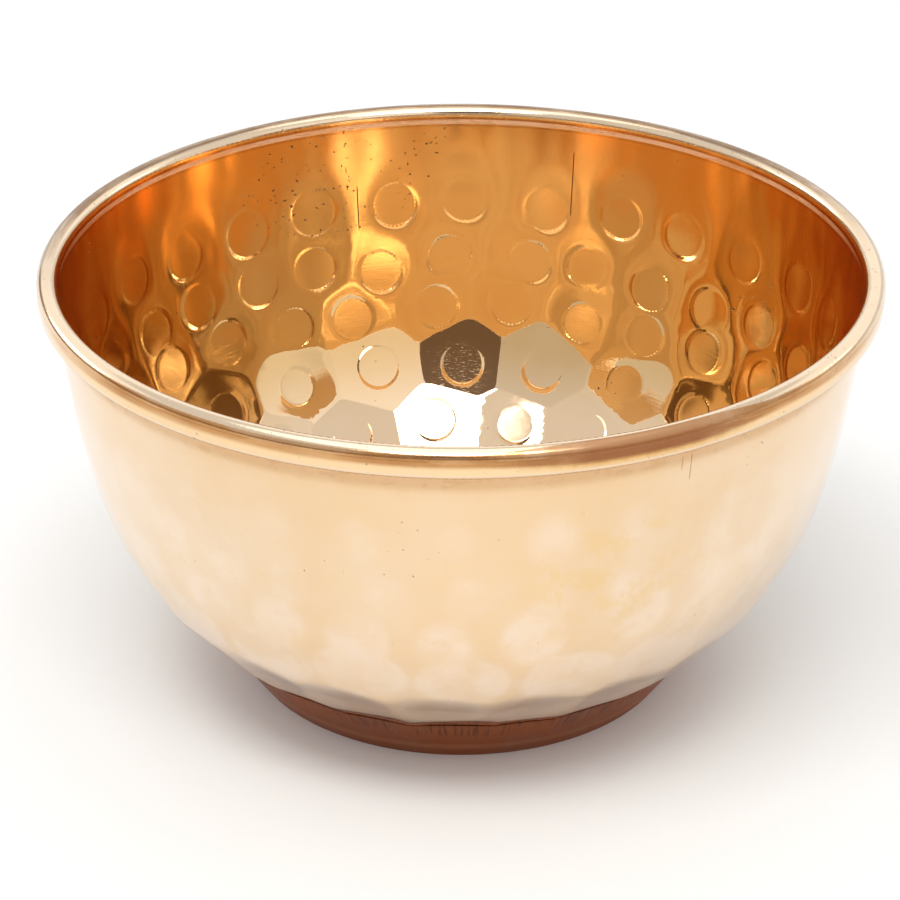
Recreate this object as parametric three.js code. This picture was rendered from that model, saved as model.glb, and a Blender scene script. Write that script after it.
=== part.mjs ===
// Hammered copper bowl with a wired edge and a soldered foot collar.
//
// Every piece is turned about +Z. The bowl stands on the plane z = 0, with the origin at
// the centre of that plane. All lengths are in millimetres.
import * as THREE from "three";

// Driving dimensions.
const SHEET = 0.7; // thickness of the copper sheet that the bowl is raised from
const RIM_RADIUS = 51; // outside of the rolled rim, the widest point
const HEIGHT = 54; // table to the top of the rolled rim
const ROLL_WIDTH = 2.65; // rolled rim, measured across
const ROLL_HEIGHT = 3.9; // rolled rim, measured from its top to its lowest point
const FLAT_RADIUS = 19.8; // flat middle of the bowl's bottom
const FLAT_HEIGHT = 2.6; // table to the underside of that flat middle
const TURN_RADIUS = 18.4; // curve that turns the bottom up into the wall, on its outside
const TURN_ANGLE = THREE.MathUtils.degToRad(38.5); // steepness at which that curve ends
const LOWER_PULL = 15; // how far the wall keeps the steepness it starts with
const UPPER_PULL = 27; // how far below the rim the wall is already nearly upright
const UPPER_LEAN = THREE.MathUtils.degToRad(5); // lean of the wall from upright at the rim
const WIRE_RADIUS = 0.5; // half the thickness of the wire inside the rolled rim
const FOOT_STRIP = 1.2; // thickness of the strip that the foot collar is bent from
const FOOT_TOP_RADIUS = 32; // outside of the collar where it meets the bowl
const FOOT_BASE_RADIUS = 26.8; // outside of the collar where it stands on the table
const CLEARANCE = 0.1; // space left between pieces that are joined face to face
const SOLDER_LEG = 1.4; // width of the solder fillet along the bowl and along the collar

// Fineness of the turned surfaces.
const SEGMENTS = 60; // around the axis, the same for every piece so that their facets line up
const TURN_STEPS = 4;
const WALL_STEPS = 13;
const ROLL_STEPS = 6;
const CURL_STEPS = 3;
const WIRE_SIDES = 8;
const SCARF_STEPS = 3;

const QUARTER = Math.PI / 2;

// Middle line of the sheet, as a list of curves in the (radius, height) plane that run from
// the axis, up the wall, over the rolled rim and down to its free edge.
const midFlat = FLAT_HEIGHT + SHEET / 2;
const midTurn = TURN_RADIUS - SHEET / 2;
const wallStart = new THREE.Vector2(
  FLAT_RADIUS + midTurn * Math.sin(TURN_ANGLE),
  midFlat + midTurn * (1 - Math.cos(TURN_ANGLE)),
);
const rollBend = (ROLL_WIDTH - SHEET) / 2; // half-round over the top of the rim
const rollCentre = new THREE.Vector2(RIM_RADIUS - ROLL_WIDTH / 2, HEIGHT - ROLL_WIDTH / 2);
const curlBend = rollBend * 0.85; // quarter-round at the free edge, which stops short of the wall
const curlHeight = HEIGHT - ROLL_HEIGHT + SHEET / 2 + curlBend;
const wallEnd = new THREE.Vector2(rollCentre.x - rollBend, curlHeight);

function sheetCurves() {
  const wall = new THREE.CubicBezierCurve(
    wallStart,
    new THREE.Vector2(
      wallStart.x + LOWER_PULL * Math.cos(TURN_ANGLE),
      wallStart.y + LOWER_PULL * Math.sin(TURN_ANGLE),
    ),
    new THREE.Vector2(
      wallEnd.x - UPPER_PULL * Math.sin(UPPER_LEAN),
      wallEnd.y - UPPER_PULL * Math.cos(UPPER_LEAN),
    ),
    wallEnd,
  );
  const turnCentreHeight = midFlat + midTurn;
  const outerSide = rollCentre.x + rollBend;
  return [
    [new THREE.LineCurve(new THREE.Vector2(0, midFlat), new THREE.Vector2(FLAT_RADIUS, midFlat)), 1],
    [arc(FLAT_RADIUS, turnCentreHeight, midTurn, -QUARTER, TURN_ANGLE - QUARTER), TURN_STEPS],
    [wall, WALL_STEPS],
    [new THREE.LineCurve(wallEnd, new THREE.Vector2(wallEnd.x, rollCentre.y)), 1],
    [arc(rollCentre.x, rollCentre.y, rollBend, 2 * QUARTER, 0), ROLL_STEPS],
    [
      new THREE.LineCurve(
        new THREE.Vector2(outerSide, rollCentre.y),
        new THREE.Vector2(outerSide, curlHeight),
      ),
      1,
    ],
    [arc(outerSide - curlBend, curlHeight, curlBend, 0, -QUARTER), CURL_STEPS],
  ];
}

// A circular arc from one angle to the other, clockwise when the second is the smaller.
function arc(centreRadius, centreHeight, radius, from, to) {
  return new THREE.ArcCurve(centreRadius, centreHeight, radius, from, to, to < from);
}

// Points along a chain of curves, each moved sideways: to the right of travel when positive.
function offsetLine(curves, distance) {
  const points = [];
  for (const [curve, steps] of curves) {
    for (let i = 0; i <= steps; i += 1) {
      const point = curve.getPoint(i / steps);
      const along = curve.getTangent(i / steps);
      point.x += along.y * distance;
      point.y -= along.x * distance;
      const last = points[points.length - 1];
      if (!last || last.distanceTo(point) > SHEET / 10) {
        points.push(point);
      }
    }
  }
  return points;
}

// A solid turned about +Z from an outline that runs anticlockwise in (radius, height).
function turned(outline) {
  const geometry = new THREE.LatheGeometry(outline, SEGMENTS);
  return geometry.rotateX(QUARTER);
}

function piece(name, geometry, colour, roughness, metalness) {
  const material = new THREE.MeshStandardMaterial({ color: colour, roughness, metalness });
  const mesh = new THREE.Mesh(geometry, material);
  mesh.name = name;
  return mesh;
}

// The bowl is one sheet: the wall's edge is rolled outward and down, and its free edge stops
// short of the wall, which leaves the space inside the roll open all the way round.
function bowlSheet() {
  const curves = sheetCurves();
  const outside = offsetLine(curves, SHEET / 2);
  const inside = offsetLine(curves, -SHEET / 2);
  return turned([...outside, ...inside.reverse()]);
}

// The wire that the sheet is rolled around stiffens the rim.
function rimWire() {
  const ring = new THREE.TorusGeometry(rollCentre.x, WIRE_RADIUS, WIRE_SIDES, SEGMENTS);
  return ring.translate(0, 0, rollCentre.y);
}

// Height of the bowl's outside over a radius, within the curve that turns the bottom up, and
// of the straight tangent past its end.
function undersideHeight(radius) {
  const turnEnd = FLAT_RADIUS + TURN_RADIUS * Math.sin(TURN_ANGLE);
  const across = Math.min(radius, turnEnd) - FLAT_RADIUS;
  const drop = Math.sqrt(TURN_RADIUS ** 2 - Math.max(across, 0) ** 2);
  const past = Math.max(radius - turnEnd, 0) * Math.tan(TURN_ANGLE);
  return FLAT_HEIGHT + TURN_RADIUS - drop + past;
}

// Points that follow the underside from one radius to another, a clearance below it.
function alongUnderside(from, to, steps) {
  const points = [];
  for (let i = 0; i <= steps; i += 1) {
    const radius = THREE.MathUtils.lerp(from, to, i / steps);
    points.push(new THREE.Vector2(radius, undersideHeight(radius) - CLEARANCE));
  }
  return points;
}

// The collar is a strip bent into a cone that narrows downward. Its upper edge is filed to the
// bowl's underside, and its lower edge is the flat ring that the bowl stands on.
const footTop = undersideHeight(FOOT_TOP_RADIUS) - CLEARANCE;
const footSlope = Math.atan2(footTop, FOOT_TOP_RADIUS - FOOT_BASE_RADIUS);
const footInnerBase = FOOT_BASE_RADIUS - FOOT_STRIP / Math.sin(footSlope);

// Radius at which the collar's inner face, a straight line up from its base, meets the bowl.
function collarMeetsBowl() {
  let low = footInnerBase;
  let high = FOOT_TOP_RADIUS;
  for (let i = 0; i < 40; i += 1) {
    const middle = (low + high) / 2;
    const faceHeight = (middle - footInnerBase) * Math.tan(footSlope);
    if (faceHeight < undersideHeight(middle) - CLEARANCE) {
      low = middle;
    } else {
      high = middle;
    }
  }
  return low;
}

function footCollar() {
  const scarf = alongUnderside(FOOT_TOP_RADIUS, collarMeetsBowl(), SCARF_STEPS);
  const innerBase = new THREE.Vector2(footInnerBase, 0);
  const outerBase = new THREE.Vector2(FOOT_BASE_RADIUS, 0);
  return turned([innerBase, outerBase, ...scarf, innerBase.clone()]);
}

// The solder fillet fills the corner between the collar's inner face and the bowl's underside.
function footSolder() {
  const sideways = CLEARANCE / Math.sin(footSlope);
  const corner = collarMeetsBowl() - sideways - CLEARANCE;
  const upper = alongUnderside(corner, corner - SOLDER_LEG, SCARF_STEPS);
  const cornerDrop = (corner - footInnerBase + sideways) * Math.tan(footSlope);
  const foot = new THREE.Vector2(
    corner - SOLDER_LEG * Math.cos(footSlope),
    cornerDrop - SOLDER_LEG * Math.sin(footSlope),
  );
  return turned([foot, ...upper, foot.clone()]);
}

const bowl = new THREE.Group();
bowl.add(
  piece("hammered_bowl", bowlSheet(), 0xefb286, 0.14, 1),
  piece("rim_wire", rimWire(), 0xb97a50, 0.45, 1),
  piece("foot_collar", footCollar(), 0x7b4630, 0.5, 1),
  piece("foot_solder", footSolder(), 0xb3a595, 0.5, 1),
);

export default bowl;
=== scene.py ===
"""Hammered copper bowl: detailed pieces, materials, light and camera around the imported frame.

Shapes are worked out in millimetres and written in metres. Radius is the distance from the
Z axis, and a surface that turns about it is described in the (radius, height) plane.
"""

import math
from collections import namedtuple

import bpy
import numpy as np
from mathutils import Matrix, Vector
from mathutils.geometry import delaunay_2d_cdt


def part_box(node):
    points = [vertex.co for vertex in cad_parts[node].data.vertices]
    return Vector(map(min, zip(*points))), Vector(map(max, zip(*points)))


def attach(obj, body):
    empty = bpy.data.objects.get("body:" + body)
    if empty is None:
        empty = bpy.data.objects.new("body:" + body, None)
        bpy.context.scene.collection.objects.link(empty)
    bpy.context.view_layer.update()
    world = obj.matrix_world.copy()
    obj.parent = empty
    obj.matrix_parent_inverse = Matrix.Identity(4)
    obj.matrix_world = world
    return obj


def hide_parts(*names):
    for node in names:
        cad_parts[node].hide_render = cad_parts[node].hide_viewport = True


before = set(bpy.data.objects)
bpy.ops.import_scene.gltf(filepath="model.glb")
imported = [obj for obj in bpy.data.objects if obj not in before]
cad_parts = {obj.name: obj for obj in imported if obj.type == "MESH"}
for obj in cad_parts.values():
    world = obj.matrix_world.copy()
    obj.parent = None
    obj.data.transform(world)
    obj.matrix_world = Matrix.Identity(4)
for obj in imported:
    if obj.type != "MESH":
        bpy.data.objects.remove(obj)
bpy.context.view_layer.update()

MM = 0.001

# The sheet of the bowl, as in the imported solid.
bowl_low, bowl_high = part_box("hammered_bowl")
_, foot_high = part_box("foot_collar")
RIM_RADIUS = bowl_high.x / MM
HEIGHT = bowl_high.z / MM
FLAT_HEIGHT = bowl_low.z / MM
SHEET = 0.7
ROLL_WIDTH = 2.65
ROLL_HEIGHT = 3.9
CURL_SHARE = 0.85  # radius of the roll's last turn inward, as a share of the roll's own bend
FLAT_RADIUS = 19.8
TURN_RADIUS = 18.4
TURN_ANGLE = math.radians(38.5)
LOWER_PULL = 15.0
UPPER_PULL = 27.0
UPPER_LEAN = math.radians(5)
WIRE_RADIUS = 0.5
FOOT_TOP_RADIUS = foot_high.x / MM
FOOT_BASE_RADIUS = 26.8
FOOT_STRIP = 1.2
CLEARANCE = 0.1
SOLDER_LEG = 1.4
FOOT_EDGE = 0.12  # rounding of the collar's edges, and of the solder's
SOLDER_EDGE = 0.2

# Fineness.
AROUND = 360  # points on a full ring
LINE_STEP = 0.05  # spacing of the points that describe the sheet's outline
BAND_STEP = 1.3  # spacing on plain surface inside the bowl
OUTSIDE_STEP = 1.15  # spacing on the bowl's outside
BAND_RING_STEP = 1.2  # full rings over the plain band
BEAD_STEP = 0.3  # full rings over the rolled rim
HOLLOW_STEP = 0.6  # full rings over the inside of the roll
BAND_HEIGHT = 47.0  # full rings start here, above the marks
BEAD_HEIGHT = 51.5  # and they are closest together from here
RING_GAP = 0.6  # room left between loose points and the first full ring
MERGE = 0.1  # points closer together than this, in the flat layout, count as one
# Extra points at creases: degrees of turn and length that call for them, and up to what height.
CREASE_PASSES = [(7, 0.5, HEIGHT), (7, 0.4, HEIGHT), (6, 0.2, 23.5), (5, 0.12, 14.5)]
OUTSIDE_CREASE_PASSES = [(4, 0.6, 16), (4, 0.35, 16)]
PROBE = 0.03  # reach of the slope measurements
MARK_REACH = 9.0  # distance from a mark past which it has no part in the surface
COVERED = 0.04  # a mark's point lower than the surface by this lies under another mark
MARK_ROOM = 0.8  # room left between a mark's own points and the plain ones
SINK = 0.12  # how far the ridges between marks lie outside the plain surface
CREASE = 20.0  # tightness of the crease between two marks, per millimetre of height

HALF_TURN = math.pi
QUARTER = math.pi / 2


# ----------------------------------------
# Outline of the sheet


def arc_points(centre, radius, start, end):
    """Points on an arc with their directions of travel."""
    count = max(int(abs(end - start) * radius / LINE_STEP), 12)
    angle = np.linspace(start, end, count)
    way = 1.0 if end > start else -1.0
    points = np.stack(
        [centre[0] + radius * np.cos(angle), centre[1] + radius * np.sin(angle)], -1
    )
    return points, way * np.stack([-np.sin(angle), np.cos(angle)], -1)


def line_points(start, end):
    """Points on a straight line with their directions of travel."""
    start, end = np.array(start, float), np.array(end, float)
    length = np.linalg.norm(end - start)
    share = np.linspace(0, 1, max(int(length / LINE_STEP), 2))[:, None]
    points = start + share * (end - start)
    return points, np.broadcast_to((end - start) / length, points.shape)


def wall_points(start, start_pull, end_pull, end):
    """Points on a cubic curve with their directions of travel."""
    t = np.linspace(0, 1, int(HEIGHT / LINE_STEP))[:, None]
    corners = [np.array(p, float) for p in (start, start_pull, end_pull, end)]
    weights = [(1 - t) ** 3, 3 * t * (1 - t) ** 2, 3 * t**2 * (1 - t), t**3]
    points = sum(w * c for w, c in zip(weights, corners))
    slopes = [3 * (1 - t) ** 2, 6 * t * (1 - t), 3 * t**2]
    travel = sum(w * (b - a) for w, a, b in zip(slopes, corners, corners[1:]))
    return points, travel / np.linalg.norm(travel, axis=1)[:, None]


def sheet_middle():
    """The sheet's middle line, from the axis, up the wall and over the rolled rim."""
    mid_flat = FLAT_HEIGHT + SHEET / 2
    mid_turn = TURN_RADIUS - SHEET / 2
    bend = (ROLL_WIDTH - SHEET) / 2
    roll = (RIM_RADIUS - ROLL_WIDTH / 2, HEIGHT - ROLL_WIDTH / 2)
    roll_start = HALF_TURN - UPPER_LEAN
    curl = bend * CURL_SHARE
    curl_height = HEIGHT - ROLL_HEIGHT + SHEET / 2 + curl
    wall_start = (
        FLAT_RADIUS + mid_turn * math.sin(TURN_ANGLE),
        mid_flat + mid_turn * (1 - math.cos(TURN_ANGLE)),
    )
    start_pull = (
        wall_start[0] + LOWER_PULL * math.cos(TURN_ANGLE),
        wall_start[1] + LOWER_PULL * math.sin(TURN_ANGLE),
    )
    wall_end = (
        roll[0] + bend * math.cos(roll_start),
        roll[1] + bend * math.sin(roll_start),
    )
    end_pull = (
        wall_end[0] - UPPER_PULL * math.sin(UPPER_LEAN),
        wall_end[1] - UPPER_PULL * math.cos(UPPER_LEAN),
    )
    outer = roll[0] + bend
    parts = [
        line_points((0, mid_flat), (FLAT_RADIUS, mid_flat)),
        arc_points((FLAT_RADIUS, mid_flat + mid_turn), mid_turn, -QUARTER, TURN_ANGLE - QUARTER),
        wall_points(wall_start, start_pull, end_pull, wall_end),
        arc_points(roll, bend, roll_start, 0),
        line_points((outer, roll[1]), (outer, curl_height)),
        arc_points((outer - curl, curl_height), curl, 0, -QUARTER),
    ]
    points = np.concatenate([p[1:] for p, _ in parts])
    travel = np.concatenate([d[1:] for _, d in parts])
    return points, travel


# ----------------------------------------
# Hammer marks


# One row of marks round the wall: height of its middle, number of marks, azimuth of the first in
# degrees, radius of the punch's face, radius of the dent round it, how flat the dent is, height
# of the step at the face's edge, how far the step's steeper side strays from the bottom in
# degrees, sideways and upward unevenness, and seed.
Row = namedtuple("Row", "height count first face dent flatness step stray sideways upward seed")
MARK_ROWS = [
    Row(40.8, 28, 1.5, 2.95, 5.0, 0.55, 0.050, 55, 0.8, 0.5, 11),
    Row(32.7, 30, -1.0, 2.80, 4.9, 0.70, 0.052, 120, 1.2, 0.9, 12),
    Row(26.5, 27, -5.0, 2.75, 5.2, 0.85, 0.052, 180, 1.2, 0.9, 13),
    Row(19.3, 22, 0.0, 2.60, 6.7, 1.00, 0.060, 180, 0.8, 0.4, 14),
    Row(12.6, 21, -6.0, 2.60, 6.8, 1.05, 0.060, 180, 1.5, 0.4, 15),
    Row(7.0, 24, 3.5, 2.40, 5.6, 1.00, 0.050, 180, 1.5, 0.4, 16),
]

# What all marks share.
FACE_SPREAD = (0.94, 1.06)  # smallest and largest face, as a share of its row's
DENT_SPREAD = (0.92, 1.06)
LEAN_SPREAD = (0.5, 1.3)  # how far a blow leans, as a share of the step
HOLLOW_SPREAD = (0.01, 0.04)  # how far the middle of a face is hollow
EDGE_SPREAD = (0.65, 1.25)  # width of the slope outside a face
SIDE_TILT = 0.030  # steepest tilt of a dent round the wall, and up it
UP_TILT = 0.025
LEAST_BEND = 0.014  # a dent is at least this round up the wall, where the wall is nearly straight
EXTRA_BEND = 0.003
LEAST_STEP = 0.006
BURR_HEIGHT = 0.005  # the raised line that a punch's edge leaves
BURR_WIDTH = 0.16
WAVE_SIZE = 0.032  # unevenness of the sheet as a whole


class Marks:
    """Where each blow fell on the sheet, and how the punch left it."""

    def __init__(self, side):
        every = np.concatenate([self.marks_of(row) for row in MARK_ROWS])
        (azimuth, level, self.face, dent, flatness, self.step, self.lean_way, self.lean,
         self.hollow, self.edge, self.tilt_x, self.tilt_y) = every.T
        length = np.interp(level, side.height[side.wall], side.length[side.wall])
        self.flat = side.flat(azimuth, length)
        self.scale = side.scale(length)
        self.bend_x = side.bend_around(length) * flatness + EXTRA_BEND
        self.bend_y = np.maximum(side.bend_along(length), LEAST_BEND) * flatness + EXTRA_BEND
        self.crown = self.bend_x * dent**2 / 2
        self.out = np.stack([np.sin(azimuth), np.cos(azimuth)], -1)
        self.along = np.stack([np.cos(azimuth), -np.sin(azimuth)], -1)

    @staticmethod
    def marks_of(row):
        """The marks of one row, one to a line, each value drawn for itself."""
        draw = np.random.default_rng(row.seed)
        count = row.count
        azimuth = row.first + np.arange(count) * 360 / count
        azimuth = np.radians(azimuth + row.sideways * draw.uniform(-1, 1, count))
        level = row.height + row.upward * draw.uniform(-1, 1, count)
        face = row.face * draw.uniform(*FACE_SPREAD, count)
        dent = row.dent * draw.uniform(*DENT_SPREAD, count)
        flatness = np.full(count, row.flatness)
        step = np.full(count, row.step)
        lean_way = np.radians(draw.uniform(-row.stray, row.stray, count) - 90)
        lean = draw.uniform(*LEAN_SPREAD, count) * row.step
        hollow = draw.uniform(*HOLLOW_SPREAD, count)
        edge = draw.uniform(*EDGE_SPREAD, count)
        tilt_x = draw.uniform(-1, 1, count) * SIDE_TILT * row.flatness
        tilt_y = draw.uniform(-1, 1, count) * UP_TILT * row.flatness
        values = [
            azimuth, level, face, dent, flatness, step, lean_way, lean, hollow, edge, tilt_x, tilt_y
        ]
        return np.stack(values, -1)

    def local(self, i, flat):
        """Position from the middle of mark i: x round the bowl, y up the wall."""
        gap = (flat - self.flat[i]) * self.scale[i]
        return gap @ self.along[i], gap @ self.out[i]

    def spot(self, i, x, y):
        """The other way: places in the flat layout from positions on mark i."""
        gap = x[:, None] * self.along[i] + y[:, None] * self.out[i]
        return self.flat[i] + gap / self.scale[i]

    def rise(self, i, x, y, crisp):
        """How far mark i lifts the sheet towards the inside of the bowl."""
        bowed = self.bend_x[i] * x**2 / 2 + self.bend_y[i] * y**2 / 2
        pillow = self.crown[i] - bowed + self.tilt_x[i] * x + self.tilt_y[i] * y
        far = np.hypot(x, y)
        lean = self.lean[i] * np.cos(np.arctan2(y, x) - self.lean_way[i])
        over = np.maximum(self.step[i] + lean, LEAST_STEP)
        past = np.clip((far - self.face[i]) / self.edge[i], 0, 1)
        inside = np.minimum(far / self.face[i], 1)
        face = self.step[i] + lean * inside + self.hollow[i] * (inside**2 - 1)
        skirt = over * (1 - past) ** 3
        burr = BURR_HEIGHT * np.exp(-(((far - self.face[i]) / BURR_WIDTH) ** 2))
        return pillow + crisp * (np.where(far < self.face[i], face, skirt) + burr)

    def height(self, flat, crisp):
        """Lift of the whole hammered surface: the highest mark wins, with a tight crease."""
        total = np.ones(len(flat))
        for i in range(len(self.face)):
            reach = MARK_REACH / self.scale[i]
            near = np.flatnonzero(np.abs(flat - self.flat[i]).max(1) < reach)
            x, y = self.local(i, flat[near])
            total[near] += np.exp(CREASE * self.rise(i, x, y, crisp))
        return np.log(total) / CREASE


DEEPEST_DENT = 0.30

# How strongly the marks show at some heights up the sheet: heights, then shares.
INSIDE_STRENGTH = ([0, HEIGHT], [1.0, 1.0])
OUTSIDE_STRENGTH = ([0, 12.5, 16.5, HEIGHT], [1.0, 1.0, 0.40, 0.35])


class Side:
    """One face of the sheet, laid out flat so that small shapes keep their form.

    The flat layout is a disc: direction from its centre is the azimuth, and distance grows
    with the way up the wall at the rate that keeps angles true.
    """

    def __init__(self, points, travel, distance):
        outward = np.stack([travel[:, 1], -travel[:, 0]], -1)
        line = points + outward * distance
        self.radius, self.height = line.T
        self.normal = outward * np.sign(distance)
        steps = np.linalg.norm(np.diff(line, axis=0), axis=1)
        self.length = line[0, 0] + np.concatenate([[0], np.cumsum(steps)])
        rate = 1 / self.radius
        growth = np.concatenate([[0], np.cumsum(steps * (rate[1:] + rate[:-1]) / 2)])
        self.spread = self.radius[0] * np.exp(growth)
        turn = np.unwrap(np.arctan2(travel[:, 1], travel[:, 0]))
        self.turn_rate = np.gradient(turn, self.length + np.arange(len(turn)) * 1e-9)
        # The stretch from the flat bottom to the top of the roll, where height only grows.
        self.wall = slice(int(len(points) * 0.1), int(np.argmax(self.height)))
        self.end = self.length[-1]

    def flat(self, azimuth, length):
        spread = np.interp(length, self.length, self.spread)
        return np.stack([spread * np.sin(azimuth), spread * np.cos(azimuth)], -1)

    def length_of(self, flat):
        spread = np.hypot(flat[:, 0], flat[:, 1])
        return np.interp(spread, self.spread, self.length)

    def scale(self, length):
        radius = np.interp(length, self.length, self.radius)
        return radius / np.interp(length, self.length, self.spread)

    def bend_around(self, length):
        radius = np.interp(length, self.length, self.radius)
        lean = np.abs(np.interp(length, self.length, self.normal[:, 0]))
        return lean / radius

    def bend_along(self, length):
        return np.interp(length, self.length, self.turn_rate)

    def place(self, flat, lift):
        """Points in space, in millimetres, of this face raised by lift towards the inside."""
        spread = np.maximum(np.hypot(flat[:, 0], flat[:, 1]), 1e-9)
        radius = np.interp(spread, self.spread, self.radius, left=0)
        inner = spread < self.spread[0]
        radius = np.where(inner, spread, radius)
        height = np.interp(spread, self.spread, self.height)
        across = np.interp(spread, self.spread, self.normal[:, 0])
        upward = np.interp(spread, self.spread, self.normal[:, 1])
        radius = radius + across * lift
        way = flat / spread[:, None]
        return np.stack([radius * way[:, 0], radius * way[:, 1], height + upward * lift], -1)


def waves_of(flat):
    """Slight unevenness of the whole sheet, as left by hand work."""
    angle = np.arctan2(flat[:, 0], flat[:, 1])
    draw = np.random.default_rng(5)
    total = np.zeros(len(flat))
    for waves in (3, 5, 8, 13, 21, 34):
        total += draw.uniform(0.3, 1.0) / waves * np.sin(waves * angle + draw.uniform(0, 6))
    return WAVE_SIZE * total


class Skin:
    """A face of the sheet with its marks, ready to be covered in triangles."""

    def __init__(self, side, facing, strength, crisp):
        self.side, self.facing = side, facing
        self.strength, self.crisp = strength, crisp
        self.marks = Marks(side)

    def lift(self, flat):
        """How far the hammering moves the face towards the inside of the bowl."""
        height = np.interp(self.side.length_of(flat), self.side.length, self.side.height)
        strength = np.interp(height, *self.strength)
        return strength * (self.marks.height(flat, self.crisp) - SINK) + waves_of(flat)

    def dent(self, flat):
        """1 where a blow flattened the sheet most, 0 at the ridges between blows."""
        return np.clip(self.marks.height(flat, self.crisp) / DEEPEST_DENT, 0, 1)

    def points(self, flat):
        return self.side.place(flat, self.lift(flat) * self.facing)

    def normals(self, flat):
        """Unit normals, out of the sheet, from the slope between nearby points."""
        reach = PROBE / self.side.scale(self.side.length_of(flat))
        right = np.stack([reach, 0 * reach], -1)
        ahead = np.stack([0 * reach, reach], -1)
        across = self.points(flat + right) - self.points(flat - right)
        along = self.points(flat + ahead) - self.points(flat - ahead)
        normal = np.cross(across, along) * self.facing
        return normal / np.linalg.norm(normal, axis=1)[:, None]

    def ring(self, length, count, shift=0.0):
        azimuth = (np.arange(count) + shift) * 2 * HALF_TURN / count
        return self.side.flat(azimuth, np.full(count, length))

    def mark_rings(self):
        """Rings of points over each mark, closest together where the punch's edge bent it.

        Points that another mark covers are left out.
        """
        marks = self.marks
        rings, lifts = [], []
        for i, (face, edge) in enumerate(zip(marks.face, marks.edge)):
            # The radius of each ring of points, and how many it has.
            rounds = [
                (0.35 * face, 8), (0.7 * face, 14), (face - 0.3, 26), (face - 0.09, 36),
                (face, 36), (face + 0.09, 36), (face + 0.25 * edge, 34),
                (face + 0.55 * edge, 30), (face + edge, 26), (face + edge + 0.5, 24),
            ]
            for n, (radius, count) in enumerate(rounds):
                angle = (np.arange(count) + 0.5 * (n % 2)) * 2 * HALF_TURN / count
                x, y = radius * np.cos(angle), radius * np.sin(angle)
                rings.append(marks.spot(i, x, y))
                lifts.append(marks.rise(i, x, y, self.crisp))
        rings, lifts = np.concatenate(rings), np.concatenate(lifts)
        return rings[marks.height(rings, self.crisp) < lifts + COVERED]

    def plain_rings(self, lengths, step):
        rings = []
        for n, length in enumerate(lengths):
            radius = np.interp(length, self.side.length, self.side.radius)
            count = max(int(2 * HALF_TURN * radius / step), 6)
            rings.append(self.ring(length, count, 0.5 * (n % 2)))
        return np.concatenate(rings)

    def away_from_marks(self, flat):
        reach = np.full(len(flat), MARK_REACH)
        for i in range(len(self.marks.face)):
            x, y = self.marks.local(i, flat)
            reach = np.minimum(reach, np.hypot(x, y) - self.marks.face[i] - self.marks.edge[i])
        return flat[reach > MARK_ROOM]


def thin_out(points, gap):
    """Drops every point that shares a small square with an earlier one."""
    cells = np.floor(points / gap).astype(np.int64)
    _, first = np.unique(cells, axis=0, return_index=True)
    return points[np.sort(first)]


def turn_area(a, b, c):
    """Twice the signed area of flat triangles."""
    ab, ac = b - a, c - a
    return ab[:, 0] * ac[:, 1] - ab[:, 1] * ac[:, 0]


def triangulate(points):
    """Triangles that join points of the flat layout, all the same way round."""
    corners = [Vector(p) for p in points.tolist()]
    _, _, faces, origin, _, _ = delaunay_2d_cdt(corners, [], [], 0, 1e-7)
    faces = np.array([o[0] for o in origin])[np.array(faces)]
    area = turn_area(*(points[faces[:, i]] for i in range(3)))
    faces = faces[np.abs(area) > 1e-9]
    area = area[np.abs(area) > 1e-9]
    faces[area < 0] = faces[area < 0][:, ::-1]
    return faces


def crease_points(skin, points, bend, shortest, limit):
    """Points halfway between joined points where the surface turns sharply."""
    faces = triangulate(points)
    edges = np.concatenate([faces[:, [0, 1]], faces[:, [1, 2]], faces[:, [2, 0]]])
    edges = edges[edges[:, 0] < edges[:, 1]]
    normal, place = skin.normals(points), skin.points(points)
    turn = (normal[edges[:, 0]] * normal[edges[:, 1]]).sum(1)
    length = np.linalg.norm(place[edges[:, 0]] - place[edges[:, 1]], axis=1)
    middle = (points[edges[:, 0]] + points[edges[:, 1]]) / 2
    inner = np.hypot(middle[:, 0], middle[:, 1]) < limit
    split = (turn < math.cos(math.radians(bend))) & (length > shortest) & inner
    return thin_out(middle[split], MERGE)


def cover(skin, band_start, ring_lengths, fine):
    """Points, normals and triangles of one face; its last AROUND points are its edge."""
    limit = np.interp(band_start, skin.side.length, skin.side.spread) - RING_GAP
    step = BAND_STEP if fine else OUTSIDE_STEP
    loose = skin.plain_rings(np.arange(1.0, band_start, step), step)
    if fine:
        loose = np.concatenate([skin.mark_rings(), skin.away_from_marks(loose)])
    loose = np.concatenate([[[0.0, 0.0]], thin_out(loose, MERGE)])
    loose = loose[np.hypot(loose[:, 0], loose[:, 1]) < limit]
    last = len(ring_lengths) - 1
    rings = np.concatenate(
        [skin.ring(s, AROUND, 0.5 * ((last - n) % 2)) for n, s in enumerate(ring_lengths)]
    )
    for bend, shortest, top in CREASE_PASSES if fine else OUTSIDE_CREASE_PASSES:
        points = np.concatenate([loose, rings])
        wall = skin.side.wall
        reach = min(limit, np.interp(top, skin.side.height[wall], skin.side.spread[wall]))
        loose = np.concatenate([loose, crease_points(skin, points, bend, shortest, reach)])
    points = np.concatenate([loose, rings])
    return skin.points(points), skin.normals(points), triangulate(points), points


def spaced(start, end, step):
    count = max(int(round((end - start) / step)), 1)
    return list(np.linspace(start, end, count + 1))


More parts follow.
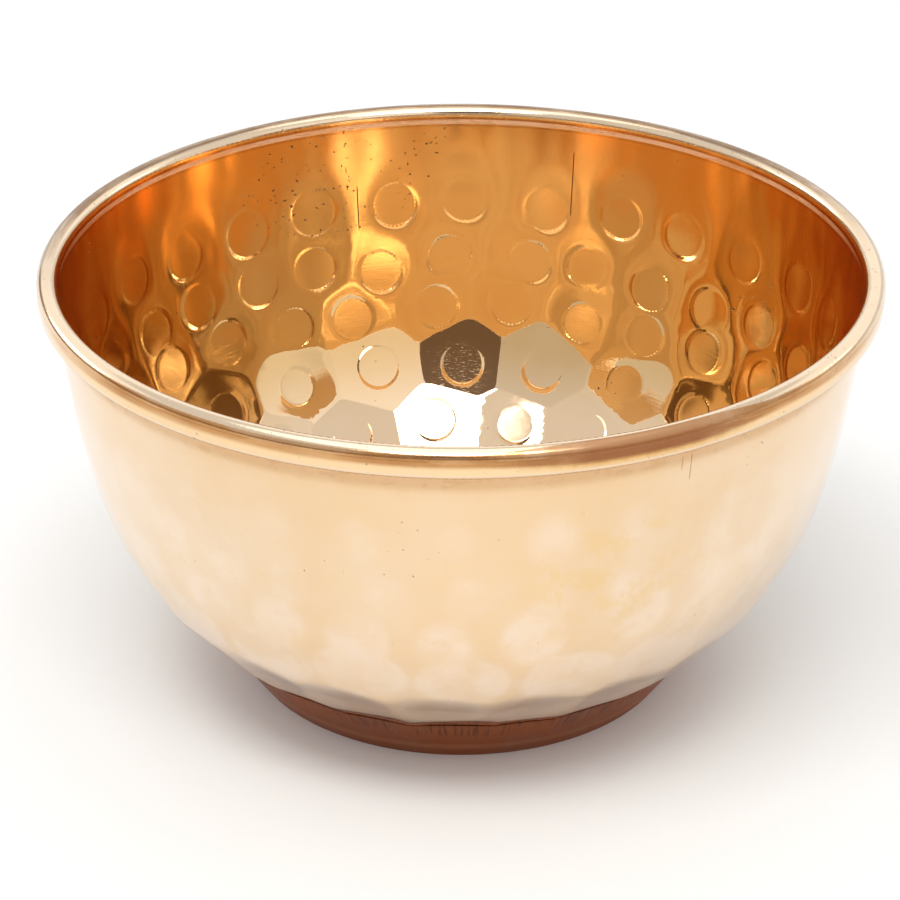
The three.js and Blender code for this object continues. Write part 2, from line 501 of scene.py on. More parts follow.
def make_object(name, points, faces, normals=None, zones=None, dent=None):
    mesh = bpy.data.meshes.new(name)
    mesh.from_pydata((np.asarray(points) * MM).tolist(), [], [list(map(int, f)) for f in faces])
    mesh.polygons.foreach_set("use_smooth", [True] * len(mesh.polygons))
    if zones is not None:
        mesh.polygons.foreach_set("material_index", zones)
    if dent is not None:
        mesh.attributes.new("dent", "FLOAT", "POINT").data.foreach_set("value", dent)
    if normals is not None:
        mesh.normals_split_custom_set_from_vertices(np.asarray(normals).tolist())
    made = bpy.data.objects.new(name, mesh)
    bpy.context.scene.collection.objects.link(made)
    return made


inside_skin = Skin(Side(*sheet_middle(), -SHEET / 2), 1, INSIDE_STRENGTH, 1.0)
outside_skin = Skin(Side(*sheet_middle(), SHEET / 2), -1, OUTSIDE_STRENGTH, 0.3)


def hammered_sheet():
    shapes = []
    for skin in (inside_skin, outside_skin):
        side, fine = skin.side, skin is inside_skin
        heights, lengths = side.height[side.wall], side.length[side.wall]
        band, bead = np.interp([BAND_HEIGHT, BEAD_HEIGHT], heights, lengths)
        bead_step = BEAD_STEP if fine else HOLLOW_STEP
        rings = spaced(band, bead, BAND_RING_STEP)[:-1] + spaced(bead, side.end, bead_step)
        shapes.append(cover(skin, band, rings, fine))
    (p_in, n_in, f_in, _), (p_out, n_out, f_out, flat_out) = shapes
    points = np.concatenate([p_in, p_out])
    first_in = len(p_in) - AROUND
    first_out = len(points) - AROUND
    edge = []
    for i in range(AROUND):
        j = (i + 1) % AROUND
        edge.append([first_in + i, first_in + j, first_out + j, first_out + i])
    faces = [*f_in.tolist(), *(f_out[:, ::-1] + len(p_in)).tolist(), *edge]
    zones = (np.arange(len(faces)) >= len(f_in)).astype(int)
    normals = np.concatenate([n_in, n_out])
    dent = np.concatenate([np.zeros(len(p_in)), outside_skin.dent(flat_out)])
    return make_object("bowl_sheet", points, faces, normals, zones, dent)


# ----------------------------------------
# Pieces turned about the axis


SHARP_TURN = math.radians(20)  # gentler corners of an outline aren't rounded
CORNER_STEPS = 4


def outline_normals(outline, radius):
    """A closed anticlockwise outline with its corners rounded, and its outward directions."""
    points, normals = [], []
    count = len(outline)
    for i in range(count):
        before, here, after = (np.array(outline[(i + k) % count]) for k in (-1, 0, 1))
        into, away = here - before, after - here
        room = min(np.linalg.norm(into), np.linalg.norm(away)) / 2
        into, away = into / np.linalg.norm(into), away / np.linalg.norm(away)
        turn = math.atan2(into[0] * away[1] - into[1] * away[0], into @ away)
        first = math.atan2(-into[0], into[1])
        if abs(turn) < SHARP_TURN:
            points.append(here)
            normals.append([math.cos(first + turn / 2), math.sin(first + turn / 2)])
            continue
        bend = min(radius, room / math.tan(abs(turn) / 2))
        side = math.copysign(1, turn)
        start = here - into * bend * math.tan(abs(turn) / 2)
        centre = start - side * bend * np.array([into[1], -into[0]])
        for k in range(CORNER_STEPS + 1):
            angle = first + turn * k / CORNER_STEPS
            normal = np.array([math.cos(angle), math.sin(angle)])
            points.append(centre + side * bend * normal)
            normals.append(normal)
    return np.array(points), np.array(normals)


def turned(name, points, normals, sway=None):
    """A closed ring with that outline; sway(step round, points) may move it on its way."""
    azimuth = np.arange(AROUND) * 2 * HALF_TURN / AROUND
    across, upward = normals.T
    place, facing = [], []
    for i, angle in enumerate(azimuth):
        line = points if sway is None else sway(i, points)
        way = (math.sin(angle), math.cos(angle))
        place.append(np.stack([line[:, 0] * way[0], line[:, 0] * way[1], line[:, 1]], -1))
        facing.append(np.stack([across * way[0], across * way[1], upward], -1))
    count = len(points)
    faces = []
    for i in range(AROUND):
        j = (i + 1) % AROUND
        for k in range(count):
            m = (k + 1) % count
            faces.append([i * count + k, i * count + m, j * count + m, j * count + k])
    return make_object(name, np.concatenate(place), faces, np.concatenate(facing))


def underside_height(radius):
    """Height of the bowl's underside over a radius, near the collar."""
    turn_end = FLAT_RADIUS + TURN_RADIUS * math.sin(TURN_ANGLE)
    across = max(min(radius, turn_end) - FLAT_RADIUS, 0)
    past = max(radius - turn_end, 0) * math.tan(TURN_ANGLE)
    return FLAT_HEIGHT + TURN_RADIUS - math.sqrt(TURN_RADIUS**2 - across**2) + past


foot_top = underside_height(FOOT_TOP_RADIUS) - CLEARANCE
foot_slope = math.atan2(foot_top, FOOT_TOP_RADIUS - FOOT_BASE_RADIUS)
foot_inner_base = FOOT_BASE_RADIUS - FOOT_STRIP / math.sin(foot_slope)


def collar_meets_bowl():
    """Radius at which the collar's inner face, straight up from its base, meets the bowl."""
    low, high = foot_inner_base, FOOT_TOP_RADIUS
    for _ in range(40):
        middle = (low + high) / 2
        face_height = (middle - foot_inner_base) * math.tan(foot_slope)
        if face_height < underside_height(middle) - CLEARANCE:
            low = middle
        else:
            high = middle
    return low


def along_underside(start, end, steps):
    radii = np.linspace(start, end, steps + 1)
    return [(r, underside_height(r) - CLEARANCE) for r in radii]


UNDERSIDE_TILT = 0.85  # upright share of a move square to the underside, over the collar
COLLAR_RAISE = 0.09  # takes up the clearance where it would show as a black line


def foot_collar():
    scarf = along_underside(FOOT_TOP_RADIUS, collar_meets_bowl(), 8)
    outline = [(foot_inner_base, 0), (FOOT_BASE_RADIUS, 0), *scarf]
    points, normals = outline_normals(outline, FOOT_EDGE)
    side = outside_skin.side
    reach = np.interp(points[:, 0], side.radius[: side.wall.stop], side.length[: side.wall.stop])
    top = np.clip(points[:, 1] / foot_top * 2 - 1, 0, 1)
    azimuth, reach = np.meshgrid(np.arange(AROUND) * 2 * HALF_TURN / AROUND, reach, indexing="ij")
    lift = outside_skin.lift(side.flat(azimuth.ravel(), reach.ravel())).reshape(reach.shape)
    raised = np.maximum(lift, 0) / UNDERSIDE_TILT + COLLAR_RAISE

    def sway(i, line):
        """Raises the top of the collar to the hammered sheet above it."""
        return line + np.stack([0 * top, top * raised[i]], -1)

    return turned("foot_ring", points, normals, sway)


def foot_solder():
    sideways = CLEARANCE / math.sin(foot_slope)
    corner = collar_meets_bowl() - sideways - CLEARANCE
    upper = along_underside(corner, corner - SOLDER_LEG, 6)
    drop = (corner - foot_inner_base + sideways) * math.tan(foot_slope)
    low = (
        corner - SOLDER_LEG * math.cos(foot_slope),
        drop - SOLDER_LEG * math.sin(foot_slope),
    )
    points, normals = outline_normals([low, *upper], SOLDER_EDGE)
    draw = np.random.default_rng(8)
    waves = [(n, draw.uniform(0.3, 1), draw.uniform(0, 6)) for n in (3, 7, 11, 19, 31)]

    def sway(i, line):
        """Swells and thins the solder on its way round, as a hand-fed fillet does."""
        angle = i * 2 * HALF_TURN / AROUND
        size = 0.86 + 0.13 * sum(w * math.sin(n * angle + p) for n, w, p in waves) / 3
        pivot = np.array([corner, underside_height(corner) - CLEARANCE])
        return pivot + (line - pivot) * size

    return turned("solder_fillet", points, normals, sway)


def rim_wire():
    angle = np.arange(16) * 2 * HALF_TURN / 16
    normals = np.stack([np.cos(angle), np.sin(angle)], -1)
    centre = np.array([RIM_RADIUS - ROLL_WIDTH / 2, HEIGHT - ROLL_WIDTH / 2])
    return turned("wire_ring", centre + WIRE_RADIUS * normals, normals)


# ----------------------------------------
# Materials


# Wear: the azimuth, lowest and highest point of each scratch down the wall, the places that are
# most worn, brushed, stained or tarnished, and the heights between which old polish fills the
# corner inside the rim. Azimuths here are degrees from +Y towards +X.
SCRATCHES = [(-16.9, 37.5, 44.0), (18.5, 39.5, 49.0), (-18.6, 45.5, 46.6), (7.5, 46.2, 47.0)]
OUTSIDE_SCRATCHES = [(148.8, 45.2, 49.4), (150.2, 46.8, 49.2)]
WORN_PLACE = (-20.0, 43.5, 46.5)
BRUSHED_PLACE = (0.0, 40.0, 19.0)
STAIN_PLACE = (17.0, -45.0, 36.0)
RESIDUE = (51.60, 52.20)
STAINED_RIM = (20.0, -46.9, HEIGHT - 1.3)


class Shader:
    """One procedural material and short ways to add nodes to it."""

    def __init__(self, name):
        self.material = bpy.data.materials.new(name)
        self.material.use_nodes = True
        self.tree = self.material.node_tree
        self.surface = self.tree.nodes["Principled BSDF"]
        place = self.add("ShaderNodeTexCoord").outputs["Object"]
        self.place = self.vector("MULTIPLY", place, (1 / MM,) * 3)
        parts = self.add("ShaderNodeSeparateXYZ", Vector=self.place).outputs
        self.x, self.y, self.z = parts["X"], parts["Y"], parts["Z"]
        squares = self.maths("ADD", self.maths("POWER", self.x, 2), self.maths("POWER", self.y, 2))
        self.radius = self.maths("SQRT", squares)

    def add(self, kind, **values):
        """A new node with these inputs, by name."""
        node = self.tree.nodes.new(kind)
        self.join_sockets([node.inputs[name] for name in values], values.values())
        return node

    def join_sockets(self, sockets, values):
        """Gives each socket its value: another socket is linked, and anything else is set."""
        for socket, value in zip(sockets, values):
            if isinstance(value, bpy.types.NodeSocket):
                self.tree.links.new(value, socket)
            elif value is not None:
                socket.default_value = value

    def join(self, node, *values):
        """Gives a node's inputs their values in order, and leaves out None."""
        self.join_sockets(node.inputs, values)
        return node

    def maths(self, operation, *values):
        node = self.tree.nodes.new("ShaderNodeMath")
        node.operation = operation
        return self.join(node, *values).outputs[0]

    def vector(self, operation, *values):
        node = self.tree.nodes.new("ShaderNodeVectorMath")
        node.operation = operation
        return self.join(node, *values).outputs[0]

    def noise(self, vector, scale, detail=3.0, rough=0.5):
        node = self.add(
            "ShaderNodeTexNoise", Vector=vector, Scale=scale, Detail=detail, Roughness=rough
        )
        return node.outputs["Fac"]

    def step(self, value, low, high, bottom=0.0, top=1.0):
        """Smooth change from bottom to top as value goes from low to high."""
        node = self.tree.nodes.new("ShaderNodeMapRange")
        node.interpolation_type = "SMOOTHSTEP"
        return self.join(node, value, low, high, bottom, top).outputs[0]

    def blend(self, share, first, second):
        node = self.tree.nodes.new("ShaderNodeMix")
        node.data_type = "RGBA"
        self.join_sockets((node.inputs[0], node.inputs[6], node.inputs[7]), (share, first, second))
        return node.outputs[2]

    def around(self, turns, climb):
        """Coordinates stretched round the axis: few changes round it, many up and across."""
        way = self.vector("SCALE", self.place, (0, 0, 0), (0, 0, 0))
        scale = self.maths("DIVIDE", turns, self.maths("MAXIMUM", self.radius, 1.0))
        self.tree.links.new(scale, way.node.inputs["Scale"])
        parts = self.add("ShaderNodeSeparateXYZ", Vector=way).outputs
        rise = self.maths("MULTIPLY", self.maths("ADD", self.z, self.radius), climb)
        return self.add("ShaderNodeCombineXYZ", X=parts["X"], Y=parts["Y"], Z=rise).outputs[0]

    def dot(self, first, second):
        node = self.tree.nodes.new("ShaderNodeVectorMath")
        node.operation = "DOT_PRODUCT"
        return self.join(node, first, second).outputs["Value"]

    def mix(self, share, first, second):
        node = self.tree.nodes.new("ShaderNodeMix")
        return self.join(node, share, None, first, second).outputs[0]

    def bump(self, height, distance, strength=1.0, under=None):
        node = self.add("ShaderNodeBump", Height=height, Distance=distance, Strength=strength)
        if under is not None:
            self.tree.links.new(under, node.inputs["Normal"])
        return node.outputs["Normal"]

    def finish(self, colour, rough, metallic, normal=None):
        names = ("Base Color", "Roughness", "Metallic", "Normal")
        sockets = [self.surface.inputs[name] for name in names]
        self.join_sockets(sockets, (colour, rough, metallic, normal))
        return self.material


def near(s, place, reach):
    """1 at a place on the surface, falling to 0 at a distance of reach from it."""
    gap = s.vector("SUBTRACT", s.place, place)
    distance = s.maths("SQRT", s.dot(gap, gap))
    return s.step(distance, reach, reach * 0.3)


def pits_of(s, size, amount, crowd):
    """Small dark pits, more of them where crowd is high."""
    specks = s.noise(s.place, 1 / size, 1.5, 0.4)
    line = s.maths("SUBTRACT", 0.80, s.maths("MULTIPLY", crowd, amount))
    return s.step(s.maths("SUBTRACT", specks, line), 0.0, 0.03)


def upright_scratch(s, azimuth, low, high):
    """One thin straight scratch down the wall."""
    angle = math.radians(azimuth)
    off = s.dot(s.place, (math.cos(angle), -math.sin(angle), 0))
    ahead = s.dot(s.place, (math.sin(angle), math.cos(angle), 0))
    thin = s.step(s.maths("ABSOLUTE", off), 0.08, 0.02)
    ends = s.maths("MULTIPLY", s.step(s.z, low, low + 0.8), s.step(s.z, high, high - 0.8))
    return s.maths("MULTIPLY", s.maths("MULTIPLY", thin, ends), s.step(ahead, 0, 1))


def rim_look(s):
    """Colour, roughness and bareness of the rolled rim: duller, brown where tarnished, with a
    painted dark reflection on the front shoulder and painted shade along its lower edge.
    """
    clouds = s.noise(s.place, 0.12, 4, 0.6)
    middle = RIM_RADIUS - ROLL_WIDTH / 2
    tilt = s.maths("DIVIDE", s.maths("SUBTRACT", s.radius, middle), ROLL_WIDTH / 2)
    back = s.step(s.maths("SUBTRACT", s.y, s.maths("MULTIPLY", s.x, 0.15)), -8.0, 24.0)
    front = s.step(s.y, -12.0, -36.0)
    outer = s.step(tilt, 0.80, 0.95)
    height = s.maths("SUBTRACT", s.z, HEIGHT - ROLL_WIDTH / 2)
    stained = near(s, STAINED_RIM, 19)
    patchy = s.step(s.noise(s.around(5.0, 0.9), 1.0, 4, 0.65), 0.36, 0.60)
    cream = s.blend(clouds, (0.90, 0.73, 0.54, 1), (0.84, 0.64, 0.44, 1))
    cream = s.blend(s.maths("MULTIPLY", front, outer), cream, (0.90, 0.63, 0.35, 1))
    near_brown = s.blend(s.step(clouds, 0.40, 0.62), (0.58, 0.30, 0.12, 1), (0.50, 0.24, 0.09, 1))
    burnt = s.blend(s.step(height, 0.2, 0.9), (0.26, 0.075, 0.012, 1), (0.38, 0.19, 0.085, 1))
    near_brown = s.blend(s.maths("MULTIPLY", stained, 0.85), near_brown, burnt)
    far_brown = s.blend(s.step(clouds, 0.40, 0.62), (0.38, 0.26, 0.17, 1), (0.31, 0.19, 0.115, 1))
    fringe = s.maths("ADD", height, s.maths("MULTIPLY", stained, 0.9))
    gold = s.maths("MULTIPLY", s.step(fringe, -1.3, 0.1), s.step(patchy, 0, 1, 0.60, 1.0))
    spots = s.step(s.noise(s.around(30.0, 0.5), 1.0, 3, 0.6), 0.44, 0.62)
    spots = s.maths("MULTIPLY", s.maths("MULTIPLY", spots, stained), s.step(height, -1.9, -0.2))
    amber = s.blend(stained, (0.80, 0.50, 0.21, 1), (0.72, 0.40, 0.11, 1))
    colour = s.blend(s.maths("MULTIPLY", gold, outer), cream, amber)
    colour = s.blend(s.maths("MULTIPLY", spots, outer), colour, (0.58, 0.30, 0.10, 1))
    # Brown on the upper outer shoulder of the front of the roll: painted reflection of the dark
    # room behind the camera. Inside the stained patch it is a real burnt stain that reaches over
    # the top.
    wide = s.maths("ADD", tilt, s.maths("MULTIPLY", stained, 0.60))
    deep = s.maths("ADD", height, s.maths("MULTIPLY", stained, 0.35))
    shoulder = s.maths("MULTIPLY", s.step(wide, 0.64, 0.76), s.step(deep, -1.0, -0.35))
    share = s.maths("MAXIMUM", s.step(patchy, 0, 1, 0.75, 1.0), stained)
    shoulder = s.maths("MULTIPLY", s.maths("MULTIPLY", shoulder, share), front)
    far_side = s.maths("MULTIPLY", s.step(tilt, -0.62, -0.42), back)
    far_side = s.maths("MULTIPLY", far_side, s.step(patchy, 0, 1, 0.70, 1.0))
    colour = s.blend(shoulder, colour, near_brown)
    colour = s.blend(far_side, colour, far_brown)
    line = s.step(s.maths("ABSOLUTE", height), 0.13, 0.03)
    line = s.maths("MULTIPLY", s.maths("MULTIPLY", line, outer), s.step(patchy, 0, 1, 0.15, 0.6))
    colour = s.blend(line, colour, (0.30, 0.13, 0.05, 1))
    # The roll darkens towards its lower edge: painted shade where it curls in over the wall.
    under = HEIGHT - ROLL_HEIGHT
    colour = s.blend(s.step(s.z, under + 0.8, under + 0.15, 0, 0.75), colour, (0.50, 0.27, 0.12, 1))
    specks = pits_of(s, 0.40, 0.12, s.step(clouds, 0.35, 0.65))
    colour = s.blend(s.maths("MULTIPLY", specks, 0.7), colour, (0.30, 0.17, 0.09, 1))
    dull = s.maths("ADD", s.maths("MULTIPLY", shoulder, 0.10), s.maths("MULTIPLY", far_side, 0.05))
    rough = s.maths("ADD", s.step(clouds, 0.3, 0.75, 0.10, 0.16), dull)
    metallic = s.step(s.maths("MULTIPLY", shoulder, stained), 0, 1, 1.0, 0.30)
    return colour, rough, metallic


def inside_copper():
    """Polished inside, more golden up the wall, with spinning lines, pits and the rolled rim."""
    s = Shader("inside_copper")
    clouds = s.noise(s.place, 0.06, 4, 0.6)
    low = s.blend(clouds, (0.94, 0.71, 0.48, 1), (0.93, 0.67, 0.43, 1))
    high = s.blend(s.step(clouds, 0.35, 0.7), (0.79, 0.52, 0.25, 1), (0.76, 0.47, 0.21, 1))
    colour = s.blend(s.step(s.z, 13.5, 23), low, high)
    crowd = s.step(s.noise(s.place, 0.09, 3, 0.6), 0.50, 0.75)
    worn = near(s, WORN_PLACE, 17)
    pits = pits_of(s, 0.45, 0.12, s.maths("MAXIMUM", crowd, worn))
    cuts = pits
    for azimuth, lowest, highest in SCRATCHES:
        cuts = s.maths("MAXIMUM", cuts, upright_scratch(s, azimuth, lowest, highest))
    colour = s.blend(cuts, colour, (0.13, 0.05, 0.02, 1))
    brushed = s.step(s.noise(s.around(40.0, 6.0), 1.0, 3, 0.7), 0.52, 0.66)
    brushed = s.maths("MULTIPLY", brushed, near(s, BRUSHED_PLACE, 6))
    rim_colour, rim_rough, rim_metallic = rim_look(s)
    inner = s.step(s.z, HEIGHT - ROLL_WIDTH / 2 - 0.20, HEIGHT - ROLL_WIDTH / 2)
    outer = s.step(s.radius, RIM_RADIUS - ROLL_WIDTH / 2 - 0.7, RIM_RADIUS - ROLL_WIDTH / 2 - 0.5)
    rim = s.maths("MAXIMUM", inner, outer)
    edge = s.maths("ABSOLUTE", s.maths("SUBTRACT", s.z, HEIGHT - ROLL_WIDTH / 2 - 0.35))
    under_edge = s.maths("MULTIPLY", s.step(edge, 0.35, 0.05), 0.5)
    colour = s.blend(under_edge, colour, (0.35, 0.12, 0.04, 1))
    bottom, top = RESIDUE
    lower, upper = s.step(s.z, bottom - 0.08, bottom + 0.06), s.step(s.z, top + 0.08, top - 0.06)
    residue = s.maths("MULTIPLY", s.maths("MULTIPLY", lower, upper), s.step(s.y, -4, 30, 0, 0.85))
    patchy = s.step(s.noise(s.around(5.0, 0.9), 1.0, 4, 0.65), 0.3, 0.6, 0.5, 1.0)
    residue = s.maths("MULTIPLY", residue, patchy)
    colour = s.blend(residue, colour, (0.74, 0.44, 0.29, 1))
    below = s.maths("ABSOLUTE", s.maths("SUBTRACT", s.z, bottom - 0.22))
    colour = s.blend(s.step(below, 0.22, 0.05, 0, 0.35), colour, (0.40, 0.12, 0.02, 1))
    colour = s.blend(rim, colour, rim_colour)
    polish = s.maths("ADD", s.step(clouds, 0.3, 0.8, 0.035, 0.08), s.step(s.z, 34, 46, 0, 0.05))
    rough = s.maths("ADD", polish, s.maths("MULTIPLY", s.maths("MAXIMUM", cuts, brushed), 0.3))
    rough = s.mix(rim, rough, rim_rough)
    rough = s.maths("ADD", rough, s.maths("MULTIPLY", residue, 0.25))
    bare = s.maths("SUBTRACT", 1.0, s.maths("MULTIPLY", residue, 0.85))
    metallic = s.mix(rim, bare, rim_metallic)
    spin = s.noise(s.around(1.5, 2.0), 2.5, 4, 0.75)
    spin = s.maths("MULTIPLY", spin, s.step(s.z, 14, 26, 0.3, 1.0))
    grain = s.maths("MULTIPLY", s.noise(s.place, 2.2, 4, 0.7), rim)
    normal = s.bump(spin, 0.0030 * MM)
    normal = s.bump(grain, 0.010 * MM, 1.0, normal)
    normal = s.bump(cuts, -0.04 * MM, 1.0, normal)
    return s.finish(colour, rough, metallic, normal)


def outside_copper():
    """Polished outside: paler on each dent, with stains, spinning lines, pits, a dull top, a
    painted sheen at its left and right, and painted shadow under the roll.
    """
    s = Shader("outside_copper")
    clouds = s.noise(s.place, 0.07, 4, 0.55)
    tan = s.blend(s.step(clouds, 0.38, 0.62), (0.835, 0.640, 0.437, 1), (0.825, 0.610, 0.392, 1))
    dent = s.add("ShaderNodeAttribute")
    dent.attribute_name = "dent"
    smudge = s.step(s.noise(s.place, 0.16, 4, 0.6), 0.35, 0.60, 0.25, 1.0)
    pale = s.maths("MULTIPLY", s.step(dent.outputs["Fac"], 0.35, 0.80), smudge)
    colour = s.blend(pale, tan, (0.875, 0.71, 0.55, 1))
    streaks = s.noise(s.around(14.0, 0.10), 1.0, 5, 0.65)
    stained = s.step(s.noise(s.place, 0.22, 4, 0.65), 0.45, 0.62)
    crowd = s.maths("MAXIMUM", near(s, STAIN_PLACE, 16), 0.22)
    stain = s.maths("MULTIPLY", s.maths("MAXIMUM", s.step(streaks, 0.54, 0.70), stained), crowd)
    colour = s.blend(s.maths("MULTIPLY", stain, 0.65), colour, (0.82, 0.58, 0.29, 1))
    # Paler towards the bowl's left and right, patchy with the smudges: painted sheen of the bright
    # room seen at a grazing angle.
    edge_sheen = s.maths("ADD", s.maths("ABSOLUTE", s.x), s.maths("MULTIPLY", smudge, 10.0))
    colour = s.blend(s.step(edge_sheen, 22, 54, 0, 0.8), colour, (0.905, 0.75, 0.59, 1))
    top = HEIGHT - ROLL_HEIGHT
    colour = s.blend(s.step(s.z, top - 14, top - 5, 0, 0.30), colour, (0.82, 0.56, 0.31, 1))
    dull = s.step(s.z, top - 4.0, top - 0.2)
    dull = s.maths("MULTIPLY", dull, s.step(streaks, 0.3, 0.65, 0.5, 1.0))
    colour = s.blend(s.maths("MULTIPLY", dull, 0.75), colour, (0.76, 0.47, 0.24, 1))
    spots = s.step(s.noise(s.around(22.0, 0.8), 1.0, 3, 0.6), 0.50, 0.66)
    # Painted shadow on the wall just under the roll, flecked with darker spots.
    groove_shade = s.maths("MULTIPLY", s.step(s.z, top - 2.7, top - 1.4), s.step(spots, 0, 1, 0.35, 0.50))
    colour = s.blend(groove_shade, colour, (0.48, 0.25, 0.10, 1))
    pits = pits_of(s, 0.42, 0.09, s.step(s.noise(s.place, 0.09, 3, 0.6), 0.50, 0.75))
    for azimuth, lowest, highest in OUTSIDE_SCRATCHES:
        pits = s.maths("MAXIMUM", pits, upright_scratch(s, azimuth, lowest, highest))
    colour = s.blend(s.maths("MULTIPLY", pits, 0.6), colour, (0.30, 0.15, 0.05, 1))
    spin = s.noise(s.around(1.5, 1.2), 2.0, 4, 0.7)
    rough = s.maths("ADD", s.step(clouds, 0.3, 0.8, 0.07, 0.15), s.maths("MULTIPLY", pits, 0.3))
    normal = s.bump(spin, 0.0035 * MM)
    normal = s.bump(pits, -0.04 * MM, 1.0, normal)
    return s.finish(colour, rough, 1.0, normal)


def brown_copper():
    s = Shader("brown_copper")
    clouds = s.noise(s.place, 0.12, 5, 0.65)
    colour = s.blend(clouds, (0.235, 0.060, 0.012, 1), (0.36, 0.105, 0.028, 1))
    streaks = s.noise(s.around(70.0, 0.1), 1.0, 3, 0.6)
    upper = s.step(s.z, foot_top * 0.55, foot_top * 0.85)
    ticks = s.maths("MULTIPLY", s.step(streaks, 0.50, 0.62), upper)
    # The collar's top edge is darkened a little: painted shade in the seam under the bowl. The
    # ticks are real streaks.
    line = s.step(s.z, foot_top - 0.5, foot_top - 0.1)
    dark = s.maths("MAXIMUM", s.maths("MULTIPLY", ticks, 0.7), s.maths("MULTIPLY", line, 0.2))
    colour = s.blend(dark, colour, (0.08, 0.022, 0.008, 1))
    worn = s.maths("ABSOLUTE", s.maths("SUBTRACT", s.z, foot_top * 0.30))
    colour = s.blend(s.step(worn, 0.9, 0.2, 0, 0.35), colour, (0.50, 0.22, 0.10, 1))
    rings = s.noise(s.around(1.5, 1.2), 1.0, 3, 0.6)
    normal = s.bump(rings, 0.03 * MM)
    normal = s.bump(streaks, 0.015 * MM, 1.0, normal)
    return s.finish(colour, s.step(clouds, 0.3, 0.7, 0.38, 0.55), 0.85, normal)


def wire_copper():
    s = Shader("wire_copper")
    clouds = s.noise(s.place, 0.3, 4, 0.6)
    colour = s.blend(clouds, (0.5, 0.26, 0.14, 1), (0.3, 0.13, 0.06, 1))
    return s.finish(colour, s.step(clouds, 0.3, 0.7, 0.3, 0.5), 1.0)


def solder_metal():
    s = Shader("solder")
    clouds = s.noise(s.place, 0.5, 4, 0.6)
    colour = s.blend(clouds, (0.5, 0.45, 0.4, 1), (0.3, 0.25, 0.2, 1))
    normal = s.bump(s.noise(s.place, 1.5, 3, 0.6), 0.1 * MM)
    return s.finish(colour, s.step(clouds, 0.3, 0.7, 0.35, 0.6), 1.0, normal)


def floor_paper():
    s = Shader("floor_paper")
    return s.finish((0.79, 0.79, 0.79, 1), 0.6, 0.0)


# ----------------------------------------
# The object


def put(piece, node, slot, *materials):
    for material in materials:
        piece.data.materials.append(material)
    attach(piece, "root")
    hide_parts(node)


put(
    hammered_sheet(), "hammered_bowl", "polished_copper",
    inside_copper(), outside_copper(),
)
put(rim_wire(), "rim_wire", "wire_copper", wire_copper())
put(foot_collar(), "foot_collar", "brown_copper", brown_copper())
put(foot_solder(), "foot_solder", "solder", solder_metal())


# ----------------------------------------
# Floor, light and camera


def toward(azimuth, elevation, distance):
    """A place seen from the bowl: azimuth 0 is the camera's side and 90 is +X."""
    a, e = math.radians(azimuth), math.radians(elevation)
    return Vector((math.sin(a) * math.cos(e), -math.cos(a) * math.cos(e), math.sin(e))) * distance


AIM = Vector((-1.32, 0, 27.56)) * MM
CAMERA_TILT = 27.65
CAMERA_DISTANCE = 0.4


def floor():
    mesh = bpy.data.meshes.new("floor")
    size = 3.0
    corners = [(-size, -size, 0), (size, -size, 0), (size, size, 0), (-size, size, 0)]
    mesh.from_pydata(corners, [], [(0, 1, 2, 3)])
    mesh.materials.append(floor_paper())
    made = bpy.data.objects.new("floor", mesh)
    bpy.context.scene.collection.objects.link(made)


def glow_material(name, colour, strength):
    material = bpy.data.materials.new(name)
    material.use_nodes = True
    nodes = material.node_tree.nodes
    nodes.remove(nodes["Principled BSDF"])
    glow = nodes.new("ShaderNodeEmission")
    glow.inputs["Color"].default_value = (*colour, 1)
    glow.inputs["Strength"].default_value = strength
    material.node_tree.links.new(glow.outputs[0], nodes["Material Output"].inputs["Surface"])
    return material


def screen(name, azimuths, elevations, distance, colour, strength, lights=True, shines=True):
    """Part of a sphere round the bowl, between two azimuths and elevations, unseen by the camera.

    With lights off it doesn't light or shade the floor, and with shines off the copper doesn't
    reflect it.
    """
    across = max(int(abs(azimuths[1] - azimuths[0]) / 6), 1)
    up = max(int(abs(elevations[1] - elevations[0]) / 6), 1)
    points = [
        toward(azimuth, elevation, distance)
        for elevation in np.linspace(*elevations, up + 1)
        for azimuth in np.linspace(*azimuths, across + 1)
    ]
    faces = []
    for row in range(up):
        for column in range(across):
            corner = row * (across + 1) + column
            faces.append((corner, corner + 1, corner + across + 2, corner + across + 1))
    mesh = bpy.data.meshes.new(name)
    mesh.from_pydata(points, [], faces)
    mesh.materials.append(glow_material(name, colour, strength))
    made = bpy.data.objects.new(name, mesh)
    bpy.context.scene.collection.objects.link(made)
    made.visible_camera = False
    made.visible_shadow = False
    made.visible_diffuse = lights
    made.visible_glossy = shines


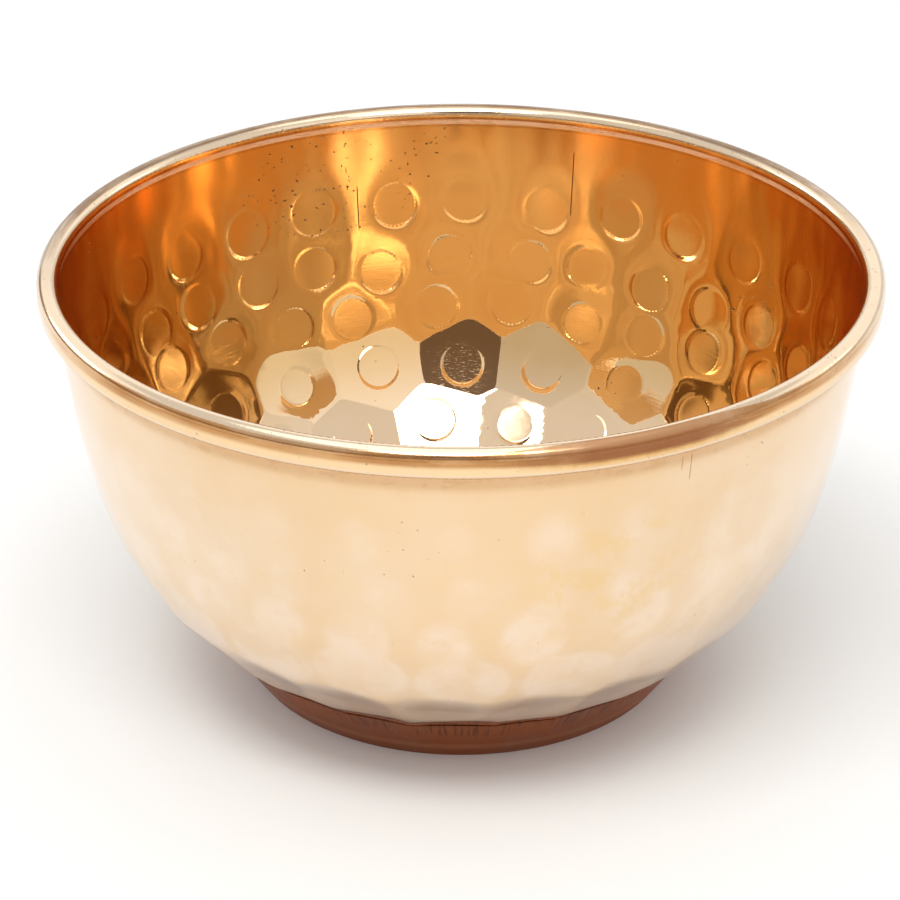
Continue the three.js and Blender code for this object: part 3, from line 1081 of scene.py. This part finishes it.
def sky():
    world = bpy.data.worlds.new("sky")
    bpy.context.scene.world = world
    world.use_nodes = True
    back = world.node_tree.nodes["Background"]
    back.inputs["Color"].default_value = (0.80, 0.80, 0.80, 1)
    back.inputs["Strength"].default_value = 0.97


def camera():
    data = bpy.data.cameras.new("camera")
    data.lens = 128.8
    data.sensor_width = 36
    made = bpy.data.objects.new("camera", data)
    bpy.context.scene.collection.objects.link(made)
    made.location = AIM + toward(0, CAMERA_TILT, CAMERA_DISTANCE)
    made.rotation_euler = (made.location - AIM).to_track_quat("Z", "Y").to_euler()
    bpy.context.scene.camera = made


floor()
sky()

# What the copper mirrors: a room of plain glowing screens. The ones that don't shine light the
# table and the bowl, and the ones with lights off are seen only in the copper.
white = (1.0, 1.0, 0.99)
screen("ceiling", (-180, 180), (66, 90), 1.8, white, 1.0)
screen("ceiling_front", (-90, 90), (60, 90), 1.5, white, 1.7, lights=False)
screen("ceiling_rear", (90, 270), (62, 90), 1.5, white, 1.7, lights=False)
screen("window_light", (-60, 26), (58, 74), 1.6, white, 8.4, shines=False)
screen("left_light", (-140, -40), (20, 50), 1.6, white, 1.55, shines=False)
screen("right_light", (40, 140), (20, 50), 1.6, white, 1.45, shines=False)
screen("window_front", (-24, 34), (46, 60), 1.6, white, 11.0, lights=False)
screen("rear_wall", (100, 260), (13, 42), 1.7, white, 1.16, lights=False)
screen("window_left", (-134, -106), (12, 25), 1.6, white, 4.2, lights=False)
screen("window_right", (97, 120), (12, 24), 1.6, white, 2.1, lights=False)
for name, azimuths, light in (
    ("wall_left", (-100, -50), 0.80), ("door", (-50, -34), 0.72), ("shelf", (-34, -16), 0.70),
    ("wall_front", (8, 40), 1.05), ("wall_right", (40, 62), 1.0), ("side_right", (62, 100), 0.84),
):
    screen(name, azimuths, (12, 44), 1.5, white, light, lights=False)
screen("photographer", (-14, 8), (20, 45), 0.6, (0.20, 0.15, 0.12), 1.0, lights=False)
screen("dark_room", (-150, 62), (1, 12), 1.5, (0.30, 0.20, 0.13), 1.0, lights=False)
camera()
bpy.context.scene.view_settings.view_transform = "Standard"
bpy.context.scene.cycles.max_bounces = 16
bpy.context.scene.cycles.glossy_bounces = 12
